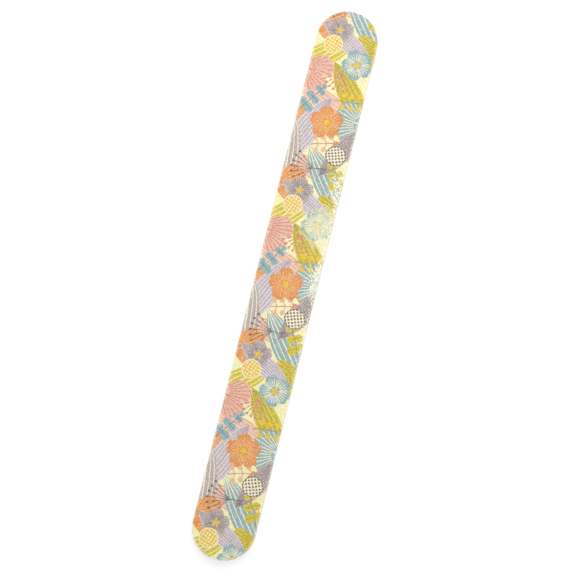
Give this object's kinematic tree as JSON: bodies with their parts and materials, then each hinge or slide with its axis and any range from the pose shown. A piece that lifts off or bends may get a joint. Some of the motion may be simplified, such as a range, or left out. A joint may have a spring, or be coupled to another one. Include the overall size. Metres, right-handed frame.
{
  "type": "emery board",
  "caption": "Flat double-sided emery board with full-round ends: a stiff core plate between foam cushions, with a printed abrasive sheet on each face.",
  "frame": {"origin": "middle of the back face, which the board lies on", "axes": "+X along the board's length, +Y across its width, +Z out of the front face"},
  "size_m": [0.18, 0.02, 0.004],
  "materials": {
    "core_plastic": "smooth white polystyrene, satin, with fine lines from the cutting die on its edge",
    "adhesive": "clear, faintly yellow acrylic film",
    "foam": "soft cream closed-cell foam, matte, finely pored on its cut edge",
    "backing_paper": "tough off-white paper with a cut, slightly fibrous edge",
    "printed_grit": "fine grit in clear resin, printed all over with pastel leaves, petals and berries on a pale yellow ground"
  },
  "bodies": {
    "root": {"core_plate": "core_plastic", "front_core_film": "adhesive", "front_foam_pad": "foam", "front_paper_film": "adhesive", "front_backing_paper": "backing_paper", "front_grit_coat": "printed_grit", "back_core_film": "adhesive", "back_foam_pad": "foam", "back_paper_film": "adhesive", "back_backing_paper": "backing_paper", "back_grit_coat": "printed_grit"}
  },
  "joints": []
}
